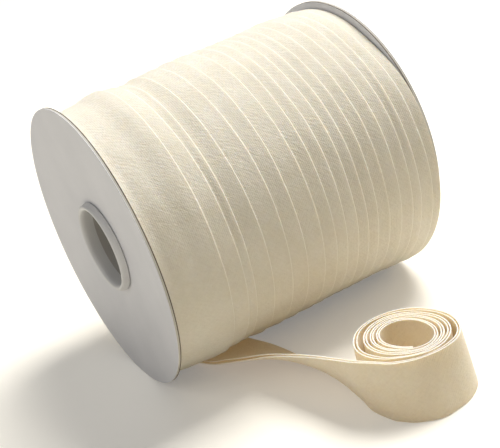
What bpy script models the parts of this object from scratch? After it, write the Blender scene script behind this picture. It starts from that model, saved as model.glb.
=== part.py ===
"""Roll of bias tape: a wound pack of folded cotton tape on a white spool, with its loose end drawn out
from under the pack and rolled into a small coil that stands on its edge in front of the spool.

Metres, +Z up.  The spool lies on its side with its axis along X, and rests on the rims of its flanges.
The camera side is -Y.  The origin is under the middle of the whole part's box, on the surface.
"""
import bpy
import bmesh
from math import cos, floor, pi, radians, sin, sqrt
from mathutils import Matrix, Vector

MM = 0.001

# Driving sizes, in millimetres.
FLANGE_RADIUS = 50.0
FLANGE_THICK = 1.2
FLANGE_DISH = 2.6               # how far a flange is drawn in at its hub, behind its rim
SPOOL_LENGTH = 105.3            # between the outer faces of the flanges
BORE_RADIUS = 13.6
TUBE_RADIUS = 15.0
LIP_RADIUS = 16.0
LIP_REACH = 2.7                 # how far the core's rounded lip stands out of a flange's hub
LIP_FLAT = (14.4, 15.2)         # inner and outer radius of the flat ring at the lip's end
FIT_GAP = 0.3                   # between pieces that touch in the real thing
SLOPE_GAP = 0.35                # the same along the slope of a dished flange
TAPE_WIDTH = 20.0               # closed, folded width
TAPE_THICK = 1.0                # folded thickness of the loose end
TAPE_STEP = 0.9                 # drop from one turn of the pack's surface to the turn it lies on
FLAT_HALF_ANGLE = radians(5.0)  # half the angle of the flat spot under a flange
RIM_SEGMENTS = 72
CORE_SEGMENTS = 40

# Derived sizes.
AXIS_HEIGHT = FLANGE_RADIUS * cos(FLAT_HALF_ANGLE)
RIM_GAP = SLOPE_GAP + 0.25      # the pack's corner lies lower than the rim, where the dish has begun
PACK_NEAR = FLANGE_THICK + RIM_GAP
PACK_FAR = SPOOL_LENGTH - FLANGE_THICK - RIM_GAP
PACK_HOLE = TUBE_RADIUS + 0.4
PACK_HUB = FLANGE_THICK + FLANGE_DISH + SLOPE_GAP

# The pack's surface.  Angles around the spool: 0 faces the camera side (-Y), 90 degrees is straight
# down, -90 straight up.  It is a true helix: one turn takes every edge on to the next one's place.
ROWS_PER_TURN = 60
ROUND_START = -270.0            # degrees, where the last turn leaves the pack at the bottom

# Places of the folded edges of the last layer, near flange first, along the axis where the angle is 0.
TURN_EDGES = (20.5, 26.7, 29.6, 36.0, 43.2, 49.0, 56.0, 60.8, 65.2, 69.8, 73.8, 78.0, 82.5, 87.5,
              92.0, 95.5, 100.2)
# The last turn keeps its full width against the near flange, up to where it leaves the pack.
LAST_TURN_COLUMNS = ("turn", "x")
LAST_TURN = ((-2.0, 0.0), (-0.75, PACK_NEAR), (0.0, 8.0), (0.25, 19.3), (1.0, TURN_EDGES[0]))
EDGE_HALF = 0.14                # the step falls over twice this much along the axis, in millimetres
STEP_FADE = 2.5                 # steps die out within this distance of a flange

# Pack radius along the axis: where it lies tight (top, back, bottom) and where it bulges at the front.
PACK_COLUMNS = ("x", "tight", "bulged")
PACK_PROFILE = (
    (0.0, 46.6, 48.0),
    (10.5, 47.2, 49.0),
    (18.5, 48.5, 49.8),
    (29.0, 47.1, 49.3),
    (37.5, 48.0, 49.9),
    (50.0, 48.5, 50.3),
    (70.0, 48.3, 50.5),
    (80.0, 48.6, 50.7),
    (87.5, 48.8, 51.0),
    (95.0, 48.5, 51.6),
    (105.0, 47.6, 52.3),
)
PACK_BOTTOM = 48.0              # the greatest pack radius over the loose end
BOTTOM_ANGLE = 12.0             # how far around, in degrees each way, that limit holds
LIMIT_RISE = 0.25               # what it grows by for each degree past there
STEP_MIDDLE = 0.6               # where between its low and high side a turn lies on the smooth radius
# How much of the bulge there is around the pack.
BULGE_COLUMNS = ("angle", "share")
BULGE = ((-270.0, 0.0), (-60.0, 0.0), (-20.0, 0.8), (20.0, 1.0), (62.0, 1.0), (74.0, 0.55), (86.0, 0.0),
         (90.0, 0.0))

# The loose end as it leaves the pack: the folded edge on the surface and the open edge that rises,
# both in spool coordinates with y = 0 under the axis.
RUN_COLUMNS = ("fold_x", "fold_y", "open_x", "open_y", "open_z")
RUN = (
    (31.0, 3.0, 11.7, -2.4, 0.0),
    (36.0, -14.5, 17.0, -20.3, 2.2),
    (39.3, -25.0, 20.2, -29.5, 5.0),
    (41.1, -34.5, 22.9, -37.5, 8.0),
    (42.2, -45.0, 26.2, -47.0, 11.7),
    (43.2, -55.5, 29.5, -56.5, 14.5),
    (42.9, -65.5, 32.0, -65.5, 16.8),
    (41.5, -77.0, 35.2, -77.0, 19.0),
    (40.4, -84.0, 37.6, -84.2, 19.8),
)
RUN_STEPS = 3                   # stations between two rows

# The small coil, wound counter-clockwise inwards as seen from above.  Laps are counted outwards
# from the tape's inner end.
COIL_X = 56.5
COIL_Y = -85.75
COIL_START = radians(-118.0)    # direction of the inner end
COIL_LAPS = 4.1
LAP_STATIONS = 32
# The inner radius and the room of one lap, each an average and its one- and two-lobed swings
# (size and direction of the lobe in degrees).
HOLE_RADIUS = (7.5, (1.0, 100.0), (0.95, 100.0))
LAP_PITCH = (1.8, (-0.15, -105.0), (-0.33, -105.0))
# The outer lap stands off the others in places, and its lower edge spreads outwards.
OUTER_LAP_COLUMNS = ("lap", "stand_off", "flare")
OUTER_LAP = (
    (0.0, 0.0, 0.0),
    (2.8, 0.0, 0.0),
    (3.05, 0.3, 0.2),
    (3.14, 0.9, 0.4),
    (3.22, 1.3, 0.5),
    (3.32, 0.95, 0.6),
    (3.45, 0.75, 0.9),
    (3.6, 0.35, 1.6),
    (3.72, 0.6, 1.9),
    (3.82, 1.05, 2.2),
    (3.9, 0.3, 3.4),
    (3.97, 0.0, 4.7),
    (4.03, 0.5, 3.5),
    (4.1, 1.3, 1.4),
)

WHITE_CARD = (0.78, 0.77, 0.78)
WHITE_PLASTIC = (0.82, 0.81, 0.80)
CREAM_TAPE = (0.88, 0.80, 0.64)


def material(name, colour, roughness):
    made = bpy.data.materials.new(name)
    made.use_nodes = True
    shader = made.node_tree.nodes["Principled BSDF"]
    shader.inputs["Base Color"].default_value = (*colour, 1.0)
    shader.inputs["Roughness"].default_value = roughness
    shader.inputs["Metallic"].default_value = 0.0
    made.diffuse_color = (*colour, 1.0)
    return made


def column(table, names, key, value, eased=True):
    """The column key of a table at value of its first column, eased or straight from row to row."""
    place = names.index(key)
    last = len(table) - 1
    row = 0
    while row < last - 1 and value > table[row + 1][0]:
        row += 1
    start, end = table[row], table[row + 1]
    share = min(max((value - start[0]) / (end[0] - start[0]), 0.0), 1.0)
    if eased:
        share = share * share * (3.0 - 2.0 * share)
    return start[place] + (end[place] - start[place]) * share


def finish(name, mesh_edit, finish_material, parent):
    """Turns an edited mesh in millimetres into an object in metres, smooth but for its sharp edges."""
    bmesh.ops.transform(mesh_edit, matrix=Matrix.Scale(MM, 4), verts=mesh_edit.verts)
    bmesh.ops.recalc_face_normals(mesh_edit, faces=mesh_edit.faces)
    mesh = bpy.data.meshes.new(name)
    mesh_edit.to_mesh(mesh)
    mesh_edit.free()
    mesh.shade_smooth()
    mesh.set_sharp_from_angle(angle=radians(35.0))
    mesh.materials.append(finish_material)
    made = bpy.data.objects.new(name, mesh)
    bpy.context.scene.collection.objects.link(made)
    made.parent = parent
    return made


def turned(profile, segments):
    """A ring turned about the spool's axis from a closed profile of (x, radius) points."""
    edit = bmesh.new()
    points = [edit.verts.new((x, 0.0, -radius)) for x, radius in profile]
    for start, end in zip(points, points[1:] + points[:1]):
        edit.edges.new((start, end))
    bmesh.ops.spin(edit, geom=edit.verts[:] + edit.edges[:], cent=(0, 0, 0), axis=(1, 0, 0),
                   angle=2 * pi, steps=segments, use_merge=True, use_duplicate=False)
    return edit


def core(finish_material, parent):
    """The tube, with a rounded lip at each end that stands out of the flange and holds it."""
    lip = LIP_REACH
    hub = SPOOL_LENGTH - FLANGE_DISH
    half_end = [(hub + SLOPE_GAP, TUBE_RADIUS), (hub + SLOPE_GAP, LIP_RADIUS - 0.3),
                (hub + 0.4 * lip, LIP_RADIUS), (hub + 0.8 * lip, LIP_RADIUS - 0.3),
                (hub + lip, LIP_FLAT[1]), (hub + lip, LIP_FLAT[0]), (hub + 0.75 * lip, BORE_RADIUS)]
    mirrored = [(SPOOL_LENGTH - x, radius) for x, radius in reversed(half_end)]
    edit = turned(half_end + mirrored, CORE_SEGMENTS)
    bmesh.ops.translate(edit, vec=(0, 0, AXIS_HEIGHT), verts=edit.verts)
    return finish("core", edit, finish_material, parent)


def flange(name, outer_rim, inwards, finish_material, parent):
    """A shallow dish with a hole for the core and a small flat spot where it rests; inwards is 1 or -1."""
    hole = TUBE_RADIUS + FIT_GAP
    hub = outer_rim + inwards * FLANGE_DISH
    thick = inwards * FLANGE_THICK
    edit = turned([(hub, hole), (outer_rim, FLANGE_RADIUS), (outer_rim + thick, FLANGE_RADIUS),
                   (hub + thick, hole)], RIM_SEGMENTS)
    for vert in edit.verts:
        vert.co.z = max(vert.co.z, -AXIS_HEIGHT)
    bmesh.ops.translate(edit, vec=(0, 0, AXIS_HEIGHT), verts=edit.verts)
    return finish(name, edit, finish_material, parent)


def edge_place(turn):
    """Where along the axis the tape's folded edge lies, turn by turn from the last one wound."""
    if turn < 1.0:
        return column(LAST_TURN, LAST_TURN_COLUMNS, "x", turn, eased=False)
    index = min(int(floor(turn)) - 1, len(TURN_EDGES) - 2)
    share = turn - 1 - index
    return TURN_EDGES[index] + (TURN_EDGES[index + 1] - TURN_EDGES[index]) * share


def pack_radius(x, angle):
    """The pack's smooth radius, before the steps from turn to turn."""
    tight = column(PACK_PROFILE, PACK_COLUMNS, "tight", x)
    bulged = column(PACK_PROFILE, PACK_COLUMNS, "bulged", x)
    share = column(BULGE, BULGE_COLUMNS, "share", angle)
    radius = tight + (bulged - tight) * share
    from_bottom = abs((angle + 90.0) % 360.0 - 180.0)
    limit = PACK_BOTTOM + LIMIT_RISE * max(from_bottom - BOTTOM_ANGLE, 0.0)
    return min(radius, limit)


def pack_point(lap, side, angle):
    """A point on the pack's surface, lap counting turns and side -1 or 1 for before or after an edge."""
    turn = lap + angle / 360.0
    bare = edge_place(turn)
    x = min(max(bare + side * EDGE_HALF, PACK_NEAR), PACK_FAR)
    if lap < 1.0 or (lap == 1.0 and side < 0):
        first_edge = edge_place(1.0 + angle / 360.0)
        rise = (x - PACK_NEAR) / (first_edge - PACK_NEAR)
    elif side:
        rise = 0.5 - 0.5 * side
    else:
        rise = lap - floor(lap)
    fade = min(1.0, (x - PACK_NEAR) / STEP_FADE, (PACK_FAR - x) / STEP_FADE)
    radius = pack_radius(x, angle) + TAPE_STEP * (rise - STEP_MIDDLE) * fade
    turned_by = radians(angle)
    return (x, -radius * cos(turned_by), AXIS_HEIGHT - radius * sin(turned_by))


def wound_tape(finish_material, parent):
    """The pack as one solid: a helical surface stepped down at each folded edge, and a plain hole."""
    first, last = -1, len(TURN_EDGES) + 2
    columns = []
    for lap in range(first, last + 1):
        columns += [(float(lap), -1), (float(lap), 1), (lap + 0.5, 0)]
    per_turn = 3
    edit = bmesh.new()
    grid = []
    hole = []
    for row in range(ROWS_PER_TURN):
        angle = ROUND_START + 360.0 * row / ROWS_PER_TURN
        grid.append([edit.verts.new(pack_point(lap, side, angle)) for lap, side in columns])
        around = radians(angle)
        hole.append([edit.verts.new((x, -PACK_HOLE * cos(around), AXIS_HEIGHT - PACK_HOLE * sin(around)))
                     for x in (PACK_HUB, SPOOL_LENGTH - PACK_HUB)])
    for row in range(ROWS_PER_TURN):
        following = (row + 1) % ROWS_PER_TURN
        shift = per_turn if following == 0 else 0
        for place in range(len(columns) - 1 - shift):
            edit.faces.new((grid[row][place], grid[row][place + 1], grid[following][place + 1 + shift],
                            grid[following][place + shift]))
        near, far = hole[row], hole[following]
        edit.faces.new((near[0], far[0], far[1], near[1]))
        edit.faces.new((grid[row][0], grid[following][0], far[0], near[0]))
        edit.faces.new((grid[row][-1], near[1], far[1], grid[following][-1]))
    bmesh.ops.remove_doubles(edit, verts=edit.verts, dist=1e-4)
    bmesh.ops.dissolve_degenerate(edit, edges=edit.edges, dist=1e-4)
    bmesh.ops.triangulate(edit, faces=edit.faces)
    return finish("wound_tape", edit, finish_material, parent)


def lobed(sizes, direction):
    """An average with a one-lobed and a two-lobed swing around the circle."""
    average, one, two = sizes
    return (average + one[0] * cos(direction - radians(one[1]))
            + two[0] * cos(2.0 * (direction - radians(two[1]))))


def coil_station(lap):
    """The lower, folded edge and the upper, open edge of the coiled tape at a lap."""
    direction = COIL_START - 2.0 * pi * lap
    stand_off = column(OUTER_LAP, OUTER_LAP_COLUMNS, "stand_off", lap)
    flare = column(OUTER_LAP, OUTER_LAP_COLUMNS, "flare", lap)
    radius = lobed(HOLE_RADIUS, direction) + lobed(LAP_PITCH, direction) * lap + stand_off
    outwards = Vector((cos(direction), sin(direction), 0.0))
    centre = Vector((COIL_X, COIL_Y, 0.0))
    fold = centre + outwards * (radius + flare)
    opened = centre + outwards * radius + Vector((0, 0, sqrt(TAPE_WIDTH ** 2 - flare ** 2)))
    return fold, opened


def smooth_between(before, start, end, after, share):
    """A Catmull-Rom curve between two points."""
    return 0.5 * (2.0 * start + (end - before) * share
                  + (2.0 * before - 5.0 * start + 4.0 * end - after) * share ** 2
                  + (3.0 * start - before - 3.0 * end + after) * share ** 3)


def loose_end_stations():
    """Pairs of edge points, from under the pack to the inner end of the coil."""
    rows = []
    for values in RUN:
        row = dict(zip(RUN_COLUMNS, values))
        rows.append((Vector((row["fold_x"], row["fold_y"], 0.0)),
                     Vector((row["open_x"], row["open_y"], row["open_z"]))))
    coil = []
    count = round(COIL_LAPS * LAP_STATIONS)
    for step in range(count + 1):
        coil.append(coil_station(COIL_LAPS * (1.0 - step / count)))
    guides = [rows[0]] + rows + coil[:2]
    stations = []
    for index in range(1, len(guides) - 2):
        for step in range(RUN_STEPS):
            share = step / RUN_STEPS
            pair = []
            for edge in (0, 1):
                pair.append(smooth_between(*(guides[index + move][edge] for move in (-1, 0, 1, 2)), share))
            across = (pair[1] - pair[0]).normalized() * TAPE_WIDTH
            stations.append((pair[0], pair[0] + across))
    return stations + coil


def loose_end(finish_material, parent):
    """The loose end as one sheet of tape: flat under the pack, turning up on its edge, then coiled."""
    stations = loose_end_stations()
    edit = bmesh.new()
    sections = []
    for index, (fold, opened) in enumerate(stations):
        before = stations[max(index - 1, 0)]
        after = stations[min(index + 1, len(stations) - 1)]
        along = (after[0] + after[1]) - (before[0] + before[1])
        across = (opened - fold).normalized()
        outwards = across.cross(along).normalized() * (TAPE_THICK / 2.0)
        corners = [fold - outwards, fold + outwards, opened + outwards, opened - outwards]
        lift = -min(corner.z for corner in corners)
        sections.append([edit.verts.new(corner + Vector((0, 0, lift))) for corner in corners])
    for start, end in zip(sections, sections[1:]):
        for side in range(4):
            following = (side + 1) % 4
            edit.faces.new((start[side], start[following], end[following], end[side]))
    edit.faces.new(sections[0])
    edit.faces.new(reversed(sections[-1]))
    bmesh.ops.triangulate(edit, faces=edit.faces)
    return finish("loose_end", edit, finish_material, parent)


def place_on_origin(root, pieces):
    """Moves the whole part so that the origin is under the middle of its box."""
    corners = [vert.co for piece in pieces for vert in piece.data.vertices]
    middle = [(min(co[axis] for co in corners) + max(co[axis] for co in corners)) / 2 for axis in (0, 1)]
    lowest = min(co.z for co in corners)
    root.location = (-middle[0], -middle[1], -lowest)


def main():
    for old in list(bpy.data.objects):
        bpy.data.objects.remove(old, do_unlink=True)
    root = bpy.data.objects.new("part_origin", None)
    bpy.context.scene.collection.objects.link(root)
    card = material("white_card", WHITE_CARD, 0.75)
    plastic = material("white_plastic", WHITE_PLASTIC, 0.45)
    cotton = material("cream_tape", CREAM_TAPE, 0.9)
    pieces = [
        core(plastic, root),
        flange("near_flange", 0.0, 1.0, card, root),
        flange("far_flange", SPOOL_LENGTH, -1.0, card, root),
        wound_tape(cotton, root),
        loose_end(cotton, root),
    ]
    place_on_origin(root, pieces)


main()
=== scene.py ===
"""The looks of the roll of bias tape: shingled turns of folded cotton tape on a white spool of card and
plastic, and the loose end with its two folded leaves, rolled into a small coil.

Sizes are in millimetres in the spool's own frame, x along its axis from the near flange's outer face,
y = 0 under the axis and z = 0 on the surface, and go to metres and to the model's frame at the end.
"""
from math import cos, degrees, floor, pi, radians, sin, sqrt

import bmesh
import bpy
from mathutils import Matrix, Vector, noise


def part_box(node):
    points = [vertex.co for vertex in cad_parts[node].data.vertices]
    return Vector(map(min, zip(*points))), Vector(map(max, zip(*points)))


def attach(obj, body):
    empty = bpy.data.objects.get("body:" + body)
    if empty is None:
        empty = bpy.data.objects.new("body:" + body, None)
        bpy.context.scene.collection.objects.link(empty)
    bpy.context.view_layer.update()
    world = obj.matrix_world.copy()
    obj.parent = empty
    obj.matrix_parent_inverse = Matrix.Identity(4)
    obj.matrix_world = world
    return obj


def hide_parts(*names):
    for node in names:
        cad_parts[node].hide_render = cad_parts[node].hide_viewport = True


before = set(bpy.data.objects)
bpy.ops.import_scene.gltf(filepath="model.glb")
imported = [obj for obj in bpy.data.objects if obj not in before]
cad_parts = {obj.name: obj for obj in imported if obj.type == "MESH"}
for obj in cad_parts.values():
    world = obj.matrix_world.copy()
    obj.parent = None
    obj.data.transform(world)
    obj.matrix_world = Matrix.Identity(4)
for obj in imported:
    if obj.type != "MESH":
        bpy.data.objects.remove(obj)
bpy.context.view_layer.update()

MM = 0.001

# The spool, from the frame.
near_low, near_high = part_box("near_flange")
far_low, far_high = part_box("far_flange")
core_low, core_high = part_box("core")
NEAR_FACE = near_low[0]
AXIS_Y = (near_low[1] + near_high[1]) / 2
FLANGE_RADIUS = (near_high[1] - near_low[1]) / 2 / MM
AXIS_HEIGHT = near_high[2] / MM - FLANGE_RADIUS
FLANGE_THICK = 1.2
FLANGE_DISH = (near_high[0] - near_low[0]) / MM - FLANGE_THICK
SPOOL_LENGTH = (far_high[0] - near_low[0]) / MM
LIP_REACH = (near_low[0] - core_low[0]) / MM + FLANGE_DISH
LIP_RADIUS = (core_high[1] - core_low[1]) / 2 / MM
BORE_RADIUS = 13.6
TUBE_RADIUS = 15.0
FIT_GAP = 0.3
SLOPE_GAP = 0.35
CORE_SEGMENTS = 160
LIP_SEGMENTS = 14
LIP_FOOT = 0.2                  # where the lip leaves the flange, along the axis
LIP_EDGE = 0.45                 # where its rounding starts
LIP_FULLNESS = 0.8              # below 1 the lip is fuller than a half round
# Painted shade in the bore: from this far past a lip the bore's wall takes a darker grey, set in by a small
# step.
BORE_SHADE_START = 2.0
BORE_SHADE_STEP = 0.06
FLANGE_SEGMENTS = 240
TO_MODEL = Matrix.Translation((NEAR_FACE, AXIS_Y, 0.0)) @ Matrix.Scale(MM, 4)

# A flange's cut edge: depths from its outer face, and how far each is set in from the rim.
RIM_PROFILE = ((0.0, 0.12), (0.06, 0.0), (0.2, 0.0), (0.26, 0.08), (0.84, 0.08), (0.9, 0.0), (1.14, 0.0),
               (FLANGE_THICK, 0.1))
RIM_BAND = 0.3                  # how far in from the rim a face still counts as cut edge
FACING_DEPTH = 0.21
# Past this depth, the cut edge's inner part and the inner face next to the rim take a dark brown: painted
# shade of the narrow gap against the pack.
BOARD_DEPTH = 0.87

# The tape: a closed double fold, two leaves of doubled cloth that meet in one folded edge.
TAPE_WIDTH = 20.0
LEAF_THICK = 0.5
LEAF_PARTING = 0.03
LEAF_ROUND = 0.12
LEAF_STATIONS = (0.9, 2.5, 5.0, 8.0, 11.0, 14.0, 16.5, 18.4, 19.4)
FOLD_SEGMENTS = 5
GAPE_CURVE = 1.3
RIPPLE = 0.12
RUFFLE = 0.3
TAPE_STEP = 0.52

# The pack, with the tables of the part's source.  Angle 0 faces the camera side, 90 is straight down.
RIM_GAP = SLOPE_GAP + 0.25
PACK_NEAR = FLANGE_THICK + RIM_GAP
PACK_FAR = SPOOL_LENGTH - FLANGE_THICK - RIM_GAP
PACK_HOLE = TUBE_RADIUS + 0.4
PACK_HUB = FLANGE_THICK + FLANGE_DISH + SLOPE_GAP
PACK_ROWS = 288
CLOTH_RADIUS = 48.0             # where the cloth is measured round the pack
ROUND_START = -270.0
TURN_EDGES = (20.5, 26.7, 29.6, 36.0, 43.2, 49.0, 56.0, 60.8, 65.2, 69.8, 73.8, 78.0, 82.5, 87.5,
              92.0, 95.5, 100.2)
LAST_TURN_COLUMNS = ("turn", "x")
LAST_TURN = ((-2.0, 0.0), (-0.75, PACK_NEAR), (0.0, 8.0), (0.25, 19.3), (1.0, TURN_EDGES[0]))
EDGE_WANDER = ((0.3, 8.0, 3.1), (0.1, 31.0, 7.7))       # size, pace and seed
STEP_FADE = 2.5
STEP_UNEVEN = 0.35
PUCKERS = ((0.16, 9.0, 14.0), (0.05, 2.4, 3.0))         # size, length along the axis and round it
PACK_COLUMNS = ("x", "tight", "bulged")
PACK_PROFILE = (
    (0.0, 46.6, 48.0),
    (10.5, 47.2, 49.0),
    (18.5, 48.5, 49.8),
    (29.0, 47.1, 49.3),
    (37.5, 48.0, 49.9),
    (50.0, 48.5, 50.3),
    (70.0, 48.3, 50.5),
    (80.0, 48.6, 50.7),
    (87.5, 48.8, 51.0),
    (95.0, 48.5, 51.6),
    (105.0, 47.6, 52.3),
)
PACK_BOTTOM = 48.0
BOTTOM_ANGLE = 12.0
LIMIT_RISE = 0.25
STEP_MIDDLE = 0.6
BULGE_COLUMNS = ("angle", "share")
BULGE = ((-270.0, 0.0), (-60.0, 0.0), (-20.0, 0.8), (20.0, 1.0), (62.0, 1.0), (74.0, 0.55), (86.0, 0.0),
         (90.0, 0.0))

# Across one turn of the pack: distances past the edge before, shares of the bare width, and the
# rounded fold at the turn's own edge, as a distance aside and the share of the step that it is down.
PAST_EDGE = ((0.1, 1.05), (0.4, 1.0))
BARE_SHARES = (0.15, 0.3, 0.45, 0.6, 0.74, 0.87)
FOLD = ((-1.3, 0.16), (-0.7, 0.06), (-0.24, 0.0), (-0.1, 0.1), (-0.03, 0.28), (0.0, 0.52), (-0.04, 0.76),
        (-0.15, 0.95))

# The loose end, as in the part's source.
RUN_COLUMNS = ("fold_x", "fold_y", "open_x", "open_y", "open_z", "gape")
RUN = (
    (31.0, 3.0, 11.7, -2.4, 0.0, 0.05),
    (36.0, -14.5, 17.0, -20.3, 2.2, 0.35),
    (39.3, -25.0, 20.2, -29.5, 5.0, 0.45),
    (41.1, -34.5, 22.9, -37.5, 8.0, 0.45),
    (42.2, -45.0, 26.2, -47.0, 11.7, 0.35),
    (43.2, -55.5, 29.5, -56.5, 14.5, 0.12),
    (42.9, -65.5, 32.0, -65.5, 16.8, 0.1),
    (41.5, -77.0, 35.2, -77.0, 19.0, 0.2),
    (40.4, -84.0, 37.6, -84.2, 19.8, 0.25),
)
RUN_STEPS = 9
COIL_X = 56.5
COIL_Y = -85.75
COIL_START = radians(-118.0)
COIL_LAPS = 4.1
LAP_STATIONS = 80
HOLE_RADIUS = (7.5, (1.0, 100.0), (0.95, 100.0))
LAP_PITCH = (1.8, (-0.15, -105.0), (-0.33, -105.0))
OUTER_LAP_COLUMNS = ("lap", "stand_off", "flare", "gape")
OUTER_LAP = (
    (0.0, 0.0, 0.0, 0.15),
    (2.8, 0.0, 0.0, 0.25),
    (3.05, 0.3, 0.2, 0.3),
    (3.14, 0.9, 0.4, 0.35),
    (3.22, 1.3, 0.5, 0.4),
    (3.32, 0.95, 0.6, 0.4),
    (3.45, 0.75, 0.9, 0.4),
    (3.6, 0.35, 1.6, 0.35),
    (3.72, 0.6, 1.9, 0.3),
    (3.82, 1.05, 2.2, 0.3),
    (3.9, 0.3, 3.4, 0.3),
    (3.97, 0.0, 4.7, 0.25),
    (4.03, 0.5, 3.5, 0.25),
    (4.1, 1.3, 1.4, 0.25),
)

# The last turn on the pack's back, on its slant from the flange to where the loose end leaves.
SLANT_START = -165.0
SLANT_END = -266.0
SLANT_SHIFT = 10.6
SLANT_STATIONS = 110
SLANT_RADIUS = 48.5
SLANT_LIFT = 0.55               # from the turn below to the middle of the tape
SLANT_SUNK = 1.75               # how deep it starts in the turn that it goes on from
SLANT_RISEN = 0.3               # the share of its length by which it has come up
SLANT_CLEAR = 0.05              # its least height above the surface
SLANT_GAPE = 0.05
SLANT_BRIDGE = 4.0              # how far aside it looks for the turns that carry it

# Colours of the tape, each mottled between two shades, and its cloth's sizes in millimetres.
COTTON = ((0.755, 0.698, 0.570), (0.805, 0.752, 0.635))
# The loose end's copy of the same cotton is darker and warmer than the pack's: painted shade, warmed as if
# lit through the cloth.
SHADED_COTTON = ((0.745, 0.648, 0.495), (0.785, 0.705, 0.560))
CREPE_SHADE = ((0.84, 0.81, 0.77), (1.0, 1.0, 1.0))
# A warm painted glow, given as emission, for light coming through the loose end's cloth.
PAINTED_THROUGH_GLOW = (1.0, 0.72, 0.38, 1.0)
# Painted shade past each folded edge, and a painted highlight along the edge itself.
FOLD_SHADE = (0.86, 0.82, 0.74, 1.0)
FOLD_LIGHT = (0.98, 0.95, 0.86, 1.0)
LINT = (0.30, 0.26, 0.22, 1.0)
THREAD = 0.42
FOLD_REACH = 0.32
LINT_SPACING = 11.0
LINT_SIZE = 0.3

# Colours of the spool's card and mouldings, each clouded between two shades.
CARD_FACING = ((0.745, 0.742, 0.762), (0.795, 0.790, 0.810))
BOARD_EDGE = ((0.50, 0.47, 0.41), (0.66, 0.63, 0.56))
# Painted shade: a dark brown for the shaded gap between a flange's rim and the pack.
RIM_PAINTED_SHADE = ((0.10, 0.078, 0.055), (0.22, 0.175, 0.125))
WHITE_MOULDING = ((0.70, 0.693, 0.68), (0.75, 0.743, 0.733))
# Painted shade: a darker grey on the bore's wall, where the tube's inside is shaded.
BORE_PAINTED_SHADE = ((0.44, 0.415, 0.385), (0.52, 0.495, 0.46))
CLOUD_STOPS = (0.3, 0.7)

# The light: a soft key from above and a little behind, a weak fill from the left front, and the room.
KEY_PLACE = (0.74, 0.17, 1.28)
KEY_SIZE = 0.8
KEY_POWER = 31.0
LIGHTS_AIM = (0.0, 0.0, 0.05)
FILL_PLACE = (-1.1, 0.0, 1.0)
FILL_SIZE = 0.8
FILL_POWER = 3.2
ROOM_STRENGTH = 0.17
FLOOR_COLOUR = (0.90, 0.85, 0.74, 1.0)
FLOOR_GLOW = 0.2                # what the camera alone sees added to the floor
FLOOR_REACH = 3.0

# The camera, placed from the near flange's foot, with its heading from +Y towards +X, its pitch and
# its roll in degrees, and its focal length in pixels of the 500 pixel wide frame.
CAMERA_PLACE = (-86.25, -307.94, 188.24)
CAMERA_HEADING = 24.74
CAMERA_PITCH = -24.56
CAMERA_ROLL = -15.5
FRAME_WIDTH = 500
FOCAL_PIXELS = 1031.1
SENSOR_WIDTH = 36.0


def column(table, names, key, value, eased=True):
    """The column key of a table at value of its first column, eased or straight from row to row."""
    place = names.index(key)
    last = len(table) - 1
    row = 0
    while row < last - 1 and value > table[row + 1][0]:
        row += 1
    start, end = table[row], table[row + 1]
    share = min(max((value - start[0]) / (end[0] - start[0]), 0.0), 1.0)
    if eased:
        share = share * share * (3.0 - 2.0 * share)
    return start[place] + (end[place] - start[place]) * share


def soft_noise(*place):
    """Smooth noise between about -1 and 1."""
    return noise.noise(Vector(place))


def to_object(name, edit, materials, smooth_angle=50.0):
    """An edited mesh in millimetres becomes an object of the model, at the origin."""
    bmesh.ops.transform(edit, matrix=TO_MODEL, verts=edit.verts)
    mesh = bpy.data.meshes.new(name)
    edit.to_mesh(mesh)
    edit.free()
    mesh.shade_smooth()
    mesh.set_sharp_from_angle(angle=radians(smooth_angle))
    for each in materials:
        mesh.materials.append(each)
    made = bpy.data.objects.new(name, mesh)
    bpy.context.scene.collection.objects.link(made)
    return made


def laid_grid(across, along, place, cloth_place):
    """A grid whose points go to place(i, j), with a UV map of cloth_place(i, j) in millimetres of cloth."""
    edit = bmesh.new()
    cloth = edit.loops.layers.uv.new("cloth")
    bmesh.ops.create_grid(edit, x_segments=across, y_segments=along, size=0.5)
    spots = {}
    for vert in edit.verts:
        spots[vert] = (round((vert.co.x + 0.5) * across), round((vert.co.y + 0.5) * along))
    for face in edit.faces:
        for loop in face.loops:
            loop[cloth].uv = cloth_place(*spots[loop.vert])
    for vert, spot in spots.items():
        vert.co = place(*spot)
    return edit


def closed(edit):
    """Welds a mesh's seams, drops what has no area, and points its faces outwards."""
    bmesh.ops.remove_doubles(edit, verts=edit.verts, dist=2e-4)
    bmesh.ops.dissolve_degenerate(edit, edges=edit.edges, dist=1e-4)
    bmesh.ops.recalc_face_normals(edit, faces=edit.faces)
    return edit


# Spool

def turned(profile, segments):
    """A ring turned about the spool's axis from a closed profile of (x, radius) points."""
    edit = bmesh.new()
    points = [edit.verts.new((x, 0.0, -radius)) for x, radius in profile]
    for start, end in zip(points, points[1:] + points[:1]):
        edit.edges.new((start, end))
    bmesh.ops.spin(edit, geom=edit.verts[:] + edit.edges[:], cent=(0, 0, 0), axis=(1, 0, 0),
                   angle=2 * pi, steps=segments, use_merge=True, use_duplicate=False)
    bmesh.ops.recalc_face_normals(edit, faces=edit.faces)
    return edit


def round_lip(hub, out):
    """The lip's profile from the tube's outer wall round to the bore; out is -1 or 1 along the axis."""
    wall = (LIP_RADIUS - BORE_RADIUS) / 2
    middle = (LIP_RADIUS + BORE_RADIUS) / 2
    foot = hub + out * LIP_FOOT
    points = [(foot, TUBE_RADIUS), (foot, LIP_RADIUS - 0.25)]
    for step in range(LIP_SEGMENTS + 1):
        turn = pi * step / LIP_SEGMENTS
        stands = LIP_EDGE + (LIP_REACH - LIP_EDGE) * sin(turn) ** LIP_FULLNESS
        points.append((hub + out * stands, middle + wall * cos(turn)))
    return points


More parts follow.
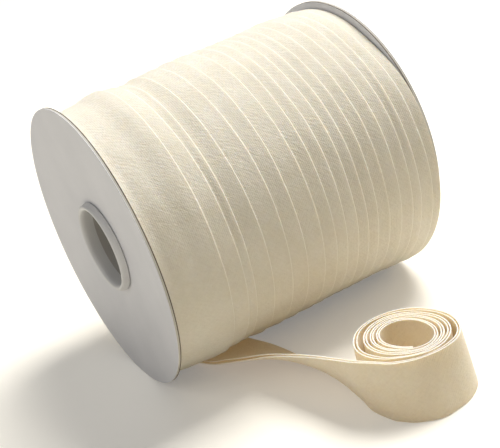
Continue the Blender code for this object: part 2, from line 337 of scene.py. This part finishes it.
def spool_core(materials):
    """The moulded tube with a full round lip at each end, and painted shade on its bore's wall."""
    near = round_lip(FLANGE_DISH, -1)
    far = round_lip(SPOOL_LENGTH - FLANGE_DISH, 1)
    inside = FLANGE_DISH + BORE_SHADE_START
    shaded_bore_radius = BORE_RADIUS + BORE_SHADE_STEP
    bore = [(inside, shaded_bore_radius), (SPOOL_LENGTH - inside, shaded_bore_radius)]
    edit = turned(near + bore + list(reversed(far)), CORE_SEGMENTS)
    # Faces of the bore's wall away from its ends take a darker grey: painted shade.
    for face in edit.faces:
        middle = face.calc_center_median()
        in_bore_shade = middle.yz.length < BORE_RADIUS + 0.1 and inside < middle.x < SPOOL_LENGTH - inside
        face.material_index = 1 if in_bore_shade else 0
    bmesh.ops.translate(edit, vec=(0, 0, AXIS_HEIGHT), verts=edit.verts)
    return to_object("spool_core", edit, materials, 40.0)


def flange_card(name, outer_rim, inwards, materials):
    """A dished disc of pale board with a white facing outside and dark painted shade on the inner part of
    its rim; inwards is 1 or -1.
    """
    hole = TUBE_RADIUS + FIT_GAP / 2
    hub = outer_rim + inwards * FLANGE_DISH
    thick = inwards * FLANGE_THICK
    rim = [(outer_rim + inwards * x, FLANGE_RADIUS - inset) for x, inset in RIM_PROFILE]
    edit = turned([(hub, hole)] + rim + [(hub + thick, hole)], FLANGE_SEGMENTS)
    for face in edit.faces:
        middle = face.calc_center_median()
        depth = (middle.x - outer_rim) * inwards
        if middle.yz.length > FLANGE_RADIUS - RIM_BAND and depth > FACING_DEPTH:
            # Index 2, on the rim's inner part, is painted shade.
            face.material_index = 1 if depth < BOARD_DEPTH else 2
    for vert in edit.verts:
        vert.co.z = max(vert.co.z, -AXIS_HEIGHT)
    bmesh.ops.translate(edit, vec=(0, 0, AXIS_HEIGHT), verts=edit.verts)
    return to_object(name, edit, materials, 30.0)


# Pack

def edge_place(turn):
    """Where along the axis the tape's folded edge lies, turn by turn from the last one wound."""
    if turn < 1.0:
        return column(LAST_TURN, LAST_TURN_COLUMNS, "x", turn, eased=False)
    index = min(int(floor(turn)) - 1, len(TURN_EDGES) - 2)
    share = turn - 1 - index
    wander = sum(size * soft_noise(turn * pace, seed, 0.0) for size, pace, seed in EDGE_WANDER)
    return TURN_EDGES[index] + (TURN_EDGES[index + 1] - TURN_EDGES[index]) * share + wander


def pack_radius(x, angle):
    """The pack's smooth radius, before the steps from turn to turn."""
    tight = column(PACK_PROFILE, PACK_COLUMNS, "tight", x)
    bulged = column(PACK_PROFILE, PACK_COLUMNS, "bulged", x)
    share = column(BULGE, BULGE_COLUMNS, "share", angle)
    from_bottom = abs((angle + 90.0) % 360.0 - 180.0)
    limit = PACK_BOTTOM + LIMIT_RISE * max(from_bottom - BOTTOM_ANGLE, 0.0)
    return min(tight + (bulged - tight) * share, limit)


def around(x, radius, angle):
    """A point at an angle around the spool's axis."""
    turned_by = radians(angle)
    return Vector((x, -radius * cos(turned_by), AXIS_HEIGHT - radius * sin(turned_by)))


def pack_columns():
    """The grid's columns across the pack, each a lap, a kind and its values."""
    columns = []
    per_turn = len(FOLD) + len(PAST_EDGE) + len(BARE_SHARES)
    for lap in (-1, 0):
        columns += [(lap, "plain", place / per_turn, 0.0) for place in range(per_turn)]
    for lap in range(1, len(TURN_EDGES) + 3):
        for aside, down in FOLD:
            columns.append((lap, "fold", aside, down))
        for aside, down in PAST_EDGE:
            columns.append((lap, "past", aside, down))
        for share in BARE_SHARES:
            columns.append((lap, "bare", share, 0.0))
    return columns, per_turn


def pack_point(spot, angle):
    """A point on the pack's surface for a column of the grid, and its place across the tape."""
    lap, kind, first, second = spot
    turn = lap + angle / 360.0
    edge = edge_place(turn)
    following = edge_place(turn + 1.0)
    if kind == "plain":
        end = following + (FOLD[0][0] if lap == 0 else 0.0)
        x = edge + (end - edge) * first
    elif kind == "bare":
        start, end = edge + PAST_EDGE[-1][0], following + FOLD[0][0]
        x = start + (end - start) * first
    else:
        x = edge + first
    x = min(max(x, PACK_NEAR), PACK_FAR)
    step = TAPE_STEP * (1.0 + STEP_UNEVEN * soft_noise(turn * 5.0, 1.7, 4.0))
    if kind == "plain":
        following = edge_place(1.0 + angle / 360.0)
        rise = (1.0 - FOLD[0][1]) * (x - PACK_NEAR) / (following + FOLD[0][0] - PACK_NEAR)
    elif kind == "bare":
        rise = (1.0 - FOLD[0][1]) * first
    else:
        rise = 1.0 - second
    fade = min(1.0, (x - PACK_NEAR) / STEP_FADE, (PACK_FAR - x) / STEP_FADE)
    level = pack_radius(x, angle)
    spot_on = around(x, CLOTH_RADIUS, angle)
    puckers = sum(size * soft_noise(spot_on.x / along, spot_on.y / round_it, spot_on.z / round_it)
                  for size, along, round_it in PUCKERS)
    radius = level + (step * (rise - STEP_MIDDLE) + puckers) * fade
    return around(x, radius, angle), TAPE_WIDTH - max((edge if kind == "fold" else following) - x, 0.0)


def wound_tape(materials):
    """The pack: a helical shingled surface with a rounded fold at each edge, and a plain hole."""
    columns, per_turn = pack_columns()
    surface = len(columns)
    last = surface + 2
    cache = {}

    def place(i, j):
        if 0 < i <= surface:
            if j == PACK_ROWS:
                i, j = min(i + per_turn, surface), 0
            angle = ROUND_START + 360.0 * j / PACK_ROWS
            if (i, j) not in cache:
                cache[(i, j)] = pack_point(columns[i - 1], angle)
            return cache[(i, j)][0]
        angle = ROUND_START + 360.0 * (j % PACK_ROWS) / PACK_ROWS
        return around(SPOOL_LENGTH - PACK_HUB if i == surface + 1 else PACK_HUB, PACK_HOLE, angle)

    def cloth_place(i, j):
        angle = ROUND_START + 360.0 * j / PACK_ROWS
        if not 0 < i <= surface:
            return (angle * pi / 180.0 * CLOTH_RADIUS, TAPE_WIDTH / 2)
        lap, kind = columns[i - 1][:2]
        seen_lap = 1 if kind == "plain" else lap + (kind != "fold")
        along = (seen_lap * 360.0 + angle) * pi / 180.0 * CLOTH_RADIUS
        return (along, pack_point(columns[i - 1], angle)[1])

    edit = laid_grid(last, PACK_ROWS, place, cloth_place)
    return to_object("wound_tape_turns", closed(edit), materials)


# Tape strips

def leaf_profile():
    """The folded tape's outline: (distance from the fold, side, face) round both leaves.

    side is 1 for the outer leaf and -1 for the inner one; face is 1 on a leaf's outside, 0 on the
    inside, and between the two round the leaf's open edge."""
    near_open = TAPE_WIDTH - LEAF_ROUND
    outline = []
    for turn in range(1, FOLD_SEGMENTS):
        bend = pi * turn / FOLD_SEGMENTS
        outline.append((0.5 - 0.5 * sin(bend), cos(bend), 1.0))
    inner = [(distance, -1.0, 1.0) for distance in LEAF_STATIONS]
    inner += [(near_open, -1.0, 0.9), (TAPE_WIDTH, -1.0, 0.5), (near_open, -1.0, 0.1)]
    inner += [(distance, -1.0, 0.0) for distance in reversed(LEAF_STATIONS)]
    outer = [(distance, 1.0, face) for distance, _, face in reversed(inner)]
    return outline + inner + outer


def strip_frames(stations):
    """Fold edge, directions across and outwards, gape and length so far, for each station."""
    count = len(stations) - 1
    frames = []
    length = 0.0
    for index, (fold, opened, gape) in enumerate(stations):
        before = stations[max(index - 1, 0)]
        after = stations[min(index + 1, count)]
        along = (after[0] + after[1]) - (before[0] + before[1])
        across = (opened - fold).normalized()
        outwards = across.cross(along).normalized()
        if index:
            length += ((fold + opened) - (stations[index - 1][0] + stations[index - 1][1])).length / 2
        frames.append((fold, across, outwards, gape, length))
    return frames


def tape_strip(name, stations, materials, rests):
    """Tape along stations of (fold edge, open edge, gape): two leaves that meet in the fold.

    A strip that rests stands on the surface all along, and another is only kept clear of it."""
    outline = leaf_profile()
    frames = strip_frames(stations)
    count = len(stations) - 1

    def section_point(part, station):
        distance, side, face = outline[part % len(outline)]
        fold, across, outwards, gape, far = frames[station]
        opened = min(distance / TAPE_WIDTH, 1.0)
        parting = LEAF_PARTING + (gape * opened ** GAPE_CURVE if side > 0 else 0.0)
        lies = parting + face * LEAF_THICK
        if part % len(outline) < FOLD_SEGMENTS - 1:
            lies = (LEAF_PARTING + LEAF_THICK) * abs(side)
        ripple = RIPPLE * opened * soft_noise(far / 11.0, distance / 9.0, side * 2.0)
        ruffle = RUFFLE * opened * soft_noise(far / 16.0, side * 3.0, 5.0)
        return fold + across * (distance + ruffle) + outwards * (lies * (1 if side > 0 else -1) + ripple)

    lows = [min(section_point(part, station).z for part in range(len(outline)))
            for station in range(count + 1)]

    def place(part, station):
        lift = -lows[station] if rests else max(SLANT_CLEAR - lows[station], 0.0)
        return section_point(part, station) + Vector((0, 0, lift))

    def cloth_place(part, station):
        distance, side = outline[part % len(outline)][:2]
        return (frames[station][4], TAPE_WIDTH - distance if side > 0 else TAPE_WIDTH + distance)

    edit = laid_grid(len(outline), count, place, cloth_place)
    bmesh.ops.remove_doubles(edit, verts=edit.verts, dist=1e-4)
    bmesh.ops.holes_fill(edit, edges=[edge for edge in edit.edges if edge.is_boundary], sides=0)
    bmesh.ops.recalc_face_normals(edit, faces=edit.faces)
    return to_object(name, edit, materials), frames[-1][4]


def lobed(sizes, direction):
    """An average with a one-lobed and a two-lobed swing around the circle."""
    average, one, two = sizes
    return (average + one[0] * cos(direction - radians(one[1]))
            + two[0] * cos(2.0 * (direction - radians(two[1]))))


def coil_station(lap):
    """The lower, folded edge and the upper, open edge of the coiled tape at a lap, and its gape."""
    direction = COIL_START - 2.0 * pi * lap
    stand_off, flare, gape = (column(OUTER_LAP, OUTER_LAP_COLUMNS, key, lap)
                              for key in ("stand_off", "flare", "gape"))
    radius = lobed(HOLE_RADIUS, direction) + lobed(LAP_PITCH, direction) * lap + stand_off
    outwards = Vector((cos(direction), sin(direction), 0.0))
    centre = Vector((COIL_X, COIL_Y, 0.0))
    opened = centre + outwards * radius + Vector((0, 0, sqrt(TAPE_WIDTH ** 2 - flare ** 2)))
    return centre + outwards * (radius + flare), opened, gape


def smooth_between(before, start, end, after, share):
    """A smooth curve through four points or numbers, between the middle two."""
    return 0.5 * (2.0 * start + (end - before) * share
                  + (2.0 * before - 5.0 * start + 4.0 * end - after) * share ** 2
                  + (3.0 * start - before - 3.0 * end + after) * share ** 3)


def loose_end_stations():
    """Fold edge, open edge and gape, from under the pack to the inner end of the coil."""
    rows = []
    for values in RUN:
        row = dict(zip(RUN_COLUMNS, values))
        rows.append((Vector((row["fold_x"], row["fold_y"], 0.0)),
                     Vector((row["open_x"], row["open_y"], row["open_z"])), row["gape"]))
    count = round(COIL_LAPS * LAP_STATIONS)
    coil = [coil_station(COIL_LAPS * (1.0 - step / count)) for step in range(count + 1)]
    wide = round(LAP_STATIONS / 32)
    guides = [rows[0]] + rows + [coil[0], coil[wide]]
    stations = []
    for index in range(1, len(guides) - 2):
        for step in range(RUN_STEPS):
            share = step / RUN_STEPS
            fold, opened, gape = (
                smooth_between(*(guides[index + move][part] for move in (-1, 0, 1, 2)), share)
                for part in (0, 1, 2))
            across = (opened - fold).normalized() * TAPE_WIDTH
            stations.append((fold, fold + across, gape))
    return stations + coil


def last_turn_stations():
    """The last turn down the back, from against the near flange to where the loose end leaves."""
    stations = []
    reach = radians(SLANT_START - SLANT_END) * SLANT_RADIUS
    for step in range(SLANT_STATIONS + 1):
        share = step / SLANT_STATIONS
        fold_x = TURN_EDGES[0] - 0.1 + SLANT_SHIFT * share ** 2
        slant = 2.0 * SLANT_SHIFT * share / reach
        fold_angle = SLANT_START + (SLANT_END - SLANT_START) * share
        open_x = max(fold_x - TAPE_WIDTH * cos(slant), PACK_NEAR + 0.2)
        open_angle = fold_angle - degrees(TAPE_WIDTH * sin(slant) / SLANT_RADIUS)
        sunk = SLANT_SUNK * (1.0 - min(share / SLANT_RISEN, 1.0)) ** 2
        ends = []
        for x, angle in ((fold_x, fold_angle), (open_x, open_angle)):
            level = max(pack_radius(x + aside, angle) for aside in (0.0, -SLANT_BRIDGE, SLANT_BRIDGE))
            ends.append(around(x, level + TAPE_STEP * (1.0 - STEP_MIDDLE) + SLANT_LIFT - sunk, angle))
        stations.append((ends[0], ends[1], SLANT_GAPE))
    return stations


# Materials

def node_maker(tree):
    """A short way to add a node, set its values and wire its inputs.

    An input is given by its name, with _ for a space, or by its number after an i."""
    def add(kind, settings=None, **inputs):
        node = tree.nodes.new(kind)
        for key, value in (settings or {}).items():
            setattr(node, key, value)
        for key, value in inputs.items():
            numbered = key[0] == "i" and key[1:].isdigit()
            socket = node.inputs[int(key[1:]) if numbered else key.replace("_", " ")]
            if isinstance(value, bpy.types.NodeSocket):
                tree.links.new(value, socket)
            else:
                socket.default_value = value
        return node
    return add


def worked(add, operation, *values, clamp=False):
    """A mask worked out from masks and numbers by one operation of a Math node."""
    inputs = {f"i{place}": value for place, value in enumerate(values)}
    return add("ShaderNodeMath", {"operation": operation, "use_clamp": clamp}, **inputs).outputs[0]


def new_group(name, inputs, outputs):
    """A shader node group with named sockets, each (name, kind, value)."""
    group = bpy.data.node_groups.new(name, "ShaderNodeTree")
    for label, kind, value in inputs:
        socket = group.interface.new_socket(label, in_out="INPUT", socket_type=kind)
        if value is not None:
            socket.default_value = value
    for label, kind in outputs:
        group.interface.new_socket(label, in_out="OUTPUT", socket_type=kind)
    add = node_maker(group)
    return group, add, add("NodeGroupInput").outputs, add("NodeGroupOutput").inputs


def bias_weave_group():
    """Plain weave on the bias: threads at 45 degrees to the tape, uneven and faintly slubbed."""
    group, add, given, out = new_group(
        "bias_weave",
        (("Cloth", "NodeSocketVector", None), ("Thread", "NodeSocketFloat", 0.42),
         ("Unevenness", "NodeSocketFloat", 0.5)),
        (("Threads", "NodeSocketFloat"), ("Crepe", "NodeSocketFloat"), ("Mottle", "NodeSocketFloat")))
    link = group.links.new
    turned_cloth = add("ShaderNodeMapping", Vector=given["Cloth"],
                       Rotation=(0, 0, radians(45.0))).outputs[0]
    split = add("ShaderNodeSeparateXYZ", Vector=turned_cloth).outputs
    waves = []
    for axis in ("X", "Y"):
        turns = worked(add, "DIVIDE", split[axis], given["Thread"])
        waves.append(worked(add, "SINE", worked(add, "MULTIPLY", turns, pi)))
    over_under = worked(add, "MULTIPLY", *waves)
    link(worked(add, "MULTIPLY_ADD", over_under, 0.5, 0.5), out["Threads"])
    stretched = add("ShaderNodeMapping", Vector=turned_cloth, Scale=(1.9, 0.5, 1.0)).outputs[0]
    crepe = add("ShaderNodeTexNoise", Vector=stretched, Scale=0.75, Detail=3.0, Roughness=0.6).outputs[0]
    other = add("ShaderNodeMapping", Vector=turned_cloth, Scale=(0.5, 1.6, 1.0)).outputs[0]
    crossing = add("ShaderNodeTexNoise", Vector=other, Scale=0.8, Detail=2.0, Roughness=0.6).outputs[0]
    both = add("ShaderNodeMix", {"data_type": "FLOAT"}, i0=given["Unevenness"], i2=crepe, i3=crossing)
    link(both.outputs[0], out["Crepe"])
    mottle = add("ShaderNodeTexNoise", Vector=given["Cloth"], Scale=0.07, Detail=4.0, Roughness=0.55)
    link(mottle.outputs[0], out["Mottle"])
    return group


def fold_line_group():
    """Masks of the tape's folded edges: the fold itself, and the soft shade that it throws past it."""
    group, add, given, out = new_group(
        "fold_line",
        (("Cloth", "NodeSocketVector", None), ("Reach", "NodeSocketFloat", 0.35),
         ("Shade Reach", "NodeSocketFloat", 1.6)),
        (("Fold", "NodeSocketFloat"), ("Shade", "NodeSocketFloat")))
    across = add("ShaderNodeSeparateXYZ", Vector=given["Cloth"]).outputs["Y"]
    near = None
    for place in (0.0, TAPE_WIDTH, 2.0 * TAPE_WIDTH):
        off = worked(add, "ABSOLUTE", worked(add, "SUBTRACT", across, place))
        near = off if near is None else worked(add, "MINIMUM", near, off)
    for label, reach in (("Fold", given["Reach"]), ("Shade", given["Shade Reach"])):
        share = worked(add, "DIVIDE", near, reach)
        group.links.new(worked(add, "SUBTRACT", 1.0, share, clamp=True), out[label])
    return group


def lint_group():
    """A few dark specks of lint, far apart."""
    group, add, given, out = new_group(
        "lint_specks",
        (("Cloth", "NodeSocketVector", None), ("Spacing", "NodeSocketFloat", 11.0),
         ("Size", "NodeSocketFloat", 0.3)),
        (("Lint", "NodeSocketFloat"),))
    per_mm = worked(add, "DIVIDE", 1.0, given["Spacing"])
    cells = add("ShaderNodeTexVoronoi", Vector=given["Cloth"], Scale=per_mm).outputs
    chance = add("ShaderNodeSeparateXYZ", Vector=cells["Color"]).outputs["X"]
    chosen = worked(add, "GREATER_THAN", chance, 0.8)
    in_mm = worked(add, "MULTIPLY", cells["Distance"], given["Spacing"])
    inside = worked(add, "SUBTRACT", 1.0, worked(add, "DIVIDE", in_mm, given["Size"]), clamp=True)
    group.links.new(worked(add, "MULTIPLY", inside, chosen), out["Lint"])
    return group


def grain_group():
    """Soft speckle and cloud for card and moulded plastic, in the model's own millimetres."""
    group, add, given, out = new_group(
        "surface_grain",
        (("Fine", "NodeSocketFloat", 2.0), ("Broad", "NodeSocketFloat", 0.05)),
        (("Speckle", "NodeSocketFloat"), ("Cloud", "NodeSocketFloat")))
    place = add("ShaderNodeTexCoord").outputs["Object"]
    in_mm = add("ShaderNodeMapping", Vector=place, Scale=(1000.0, 1000.0, 1000.0)).outputs[0]
    speckle = add("ShaderNodeTexNoise", Vector=in_mm, Scale=given["Fine"], Detail=3.0, Roughness=0.65)
    cloud = add("ShaderNodeTexNoise", Vector=in_mm, Scale=given["Broad"], Detail=4.0, Roughness=0.5)
    group.links.new(speckle.outputs[0], out["Speckle"])
    group.links.new(cloud.outputs[0], out["Cloud"])
    return group


def base_material(name):
    """A material with its shader and a short way to add nodes."""
    made = bpy.data.materials.new(name)
    made.use_nodes = True
    shader = made.node_tree.nodes["Principled BSDF"]
    return made, shader, node_maker(made.node_tree)


def ramp(add, source, *stops):
    """A colour ramp over a mask, from (place, colour) stops."""
    node = add("ShaderNodeValToRGB", Fac=source)
    elements = node.color_ramp.elements
    while len(elements) < len(stops):
        elements.new(0.5)
    for element, (place, colour) in zip(elements, stops):
        element.position = place
        element.color = (*colour, 1.0)
    return node.outputs[0]


def blended(add, kind, share, under, over):
    """One colour over another by a mask; kind is MIX or MULTIPLY."""
    mix = add("ShaderNodeMix", {"data_type": "RGBA", "blend_type": kind}, i0=share, i6=under, i7=over)
    return mix.outputs[2]


def cotton_material(name, groups, shades, spread=(0.4, 0.001), painted_glow=0.0):
    """Cream cotton on the bias: a painted highlight along its folds and painted shade past them, with a
    crepe-like surface and a little fuzz.

    It mottles between two shades.  spread is how much light spreads inside the cloth and how far, in
    metres, and the last argument is the strength of a warm painted glow, an emission that stands in for
    light coming through the cloth."""
    made, shader, add = base_material(name)
    link = made.node_tree.links.new
    cloth = add("ShaderNodeUVMap", {"uv_map": "cloth"}).outputs[0]
    weave, fold_line, lint = groups
    woven = add("ShaderNodeGroup", {"node_tree": weave}, Cloth=cloth, Thread=THREAD, Unevenness=0.4).outputs
    folded = add("ShaderNodeGroup", {"node_tree": fold_line}, Cloth=cloth, Reach=FOLD_REACH).outputs
    specks = add("ShaderNodeGroup", {"node_tree": lint}, Cloth=cloth, Spacing=LINT_SPACING,
                 Size=LINT_SIZE).outputs[0]
    ground = ramp(add, woven["Mottle"], *zip(CLOUD_STOPS, shades))
    crepe = ramp(add, woven["Crepe"], *zip((0.34, 0.66), CREPE_SHADE))
    shaded = blended(add, "MULTIPLY", 0.42, ground, crepe)
    # Painted shade past each fold, then a painted highlight on the fold itself.
    shaded = blended(add, "MULTIPLY", worked(add, "MULTIPLY", folded["Shade"], 0.08), shaded, FOLD_SHADE)
    lit = blended(add, "MIX", folded["Fold"], shaded, FOLD_LIGHT)
    lit = blended(add, "MIX", worked(add, "MULTIPLY", specks, 0.7), lit, LINT)
    link(lit, shader.inputs["Base Color"])
    rough = add("ShaderNodeMapRange", Value=woven["Crepe"], To_Min=0.78, To_Max=0.95).outputs[0]
    link(rough, shader.inputs["Roughness"])
    height = worked(add, "MULTIPLY_ADD", woven["Threads"], 0.12, woven["Crepe"])
    bump = add("ShaderNodeBump", Strength=0.9, Distance=0.00038, Height=height)
    link(bump.outputs[0], shader.inputs["Normal"])
    # Emission here is a painted glow, standing in for light that comes through the cloth.
    shader.inputs["Emission Color"].default_value = PAINTED_THROUGH_GLOW
    shader.inputs["Emission Strength"].default_value = painted_glow
    shader.inputs["Subsurface Weight"].default_value = spread[0]
    shader.inputs["Subsurface Radius"].default_value = (1.0, 0.75, 0.45)
    shader.inputs["Subsurface Scale"].default_value = spread[1]
    shader.inputs["Sheen Weight"].default_value = 0.12
    shader.inputs["Sheen Roughness"].default_value = 0.5
    shader.inputs["Specular IOR Level"].default_value = 0.25
    return made


def grained_material(name, grain, shades, roughness, fine, bump_depth):
    """Card or plastic: a colour that clouds between two shades, with a fine grain in its surface."""
    made, shader, add = base_material(name)
    link = made.node_tree.links.new
    marks = add("ShaderNodeGroup", {"node_tree": grain}, Fine=fine, Broad=0.06).outputs
    link(ramp(add, marks["Cloud"], *zip(CLOUD_STOPS, shades)), shader.inputs["Base Color"])
    rough = add("ShaderNodeMapRange", Value=marks["Speckle"], To_Min=roughness - 0.08,
                To_Max=roughness + 0.08).outputs[0]
    link(rough, shader.inputs["Roughness"])
    bump = add("ShaderNodeBump", Strength=0.4, Distance=bump_depth, Height=marks["Speckle"])
    link(bump.outputs[0], shader.inputs["Normal"])
    return made


# Scene

def add_floor():
    """A plain pale floor."""
    edit = bmesh.new()
    bmesh.ops.create_grid(edit, x_segments=1, y_segments=1, size=FLOOR_REACH)
    mesh = bpy.data.meshes.new("floor")
    edit.to_mesh(mesh)
    edit.free()
    made = bpy.data.objects.new("floor", mesh)
    bpy.context.scene.collection.objects.link(made)
    pale, shader, add = base_material("pale_floor")
    shader.inputs["Base Color"].default_value = FLOOR_COLOUR
    seen = add("ShaderNodeLightPath").outputs["Is Camera Ray"]
    shader.inputs["Emission Color"].default_value = (1.0, 1.0, 1.0, 1.0)
    pale.node_tree.links.new(worked(add, "MULTIPLY", seen, FLOOR_GLOW), shader.inputs["Emission Strength"])
    shader.inputs["Roughness"].default_value = 0.9
    shader.inputs["Specular IOR Level"].default_value = 0.1
    mesh.materials.append(pale)


def add_light(name, place, aim, size, power):
    """A soft square light at a place that faces an aim, in metres."""
    data = bpy.data.lights.new(name, "AREA")
    data.size = size
    data.energy = power
    made = bpy.data.objects.new(name, data)
    made.location = place
    made.rotation_euler = (Vector(aim) - Vector(place)).to_track_quat("-Z", "Y").to_euler()
    bpy.context.scene.collection.objects.link(made)


def add_world(strength):
    """Even white light from all round."""
    world = bpy.data.worlds.new("studio")
    world.use_nodes = True
    background = world.node_tree.nodes["Background"]
    background.inputs["Color"].default_value = (1.0, 1.0, 1.0, 1.0)
    background.inputs["Strength"].default_value = strength
    bpy.context.scene.world = world


def add_camera():
    """The camera at the photo's place and angle."""
    heading, pitch, roll = (radians(each) for each in (CAMERA_HEADING, CAMERA_PITCH, CAMERA_ROLL))
    forward = Vector((sin(heading) * cos(pitch), cos(heading) * cos(pitch), sin(pitch)))
    level = forward.cross(Vector((0, 0, 1))).normalized()
    upright = level.cross(forward)
    right = level * cos(roll) + upright * sin(roll)
    up = right.cross(forward)
    data = bpy.data.cameras.new("camera")
    data.sensor_width = SENSOR_WIDTH
    data.lens = SENSOR_WIDTH * FOCAL_PIXELS / FRAME_WIDTH
    data.clip_start = 0.01
    made = bpy.data.objects.new("camera", data)
    turn = Matrix((right, up, -forward)).transposed().to_4x4()
    made.matrix_world = Matrix.Translation(TO_MODEL @ Vector(CAMERA_PLACE)) @ turn
    bpy.context.scene.collection.objects.link(made)
    bpy.context.scene.camera = made


def tape_materials():
    """The pack's cotton, and the loose end's copy of it, painted darker and warmer as painted shade and
    given a warm painted glow.
    """
    groups = bias_weave_group(), fold_line_group(), lint_group()
    return (cotton_material("cream_bias_cotton", groups, COTTON),
            cotton_material("cream_bias_cotton_painted_shade", groups, SHADED_COTTON, spread=(0.65, 0.002),
                            painted_glow=0.085))


def spool_materials():
    """The flanges' facing, board and painted rim shade, and the core's plastic and the painted shade in its
    bore.
    """
    grain = grain_group()
    card = [grained_material("white_card_facing", grain, CARD_FACING, 0.6, 1.2, 0.00004),
            grained_material("pale_board_edge", grain, BOARD_EDGE, 0.9, 3.0, 0.0002),
            grained_material("painted_rim_shade", grain, RIM_PAINTED_SHADE, 0.9, 3.0, 0.0002)]
    tube = [grained_material("white_moulding", grain, WHITE_MOULDING, 0.42, 2.5, 0.00003),
            grained_material("painted_bore_shade", grain, BORE_PAINTED_SHADE, 0.8, 2.0, 0.00008)]
    return card, tube


def main():
    add_camera()
    cotton, shaded_cotton = tape_materials()
    card, tube = spool_materials()

    core = spool_core(tube)
    near = flange_card("near_flange_card", 0.0, 1.0, card)
    far = flange_card("far_flange_card", SPOOL_LENGTH, -1.0, card)
    pack = wound_tape([cotton])
    slant, _ = tape_strip("last_turn_tape", last_turn_stations(), [cotton], rests=False)
    loose, length = tape_strip("loose_end_tape", loose_end_stations(), [shaded_cotton], rests=True)
    for piece, node, slot in ((core, "core", "spool_plastic"), (near, "near_flange", "flange_card"),
                              (far, "far_flange", "flange_card"), (pack, "wound_tape", "bias_tape"),
                              (slant, "wound_tape", "bias_tape"), (loose, "loose_end", "bias_tape")):
        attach(piece, "root")
        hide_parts(node)

    add_floor()
    add_world(ROOM_STRENGTH)
    add_light("key", KEY_PLACE, LIGHTS_AIM, KEY_SIZE, KEY_POWER)
    add_light("fill", FILL_PLACE, LIGHTS_AIM, FILL_SIZE, FILL_POWER)
    bpy.context.scene.view_settings.view_transform = "Standard"


main()
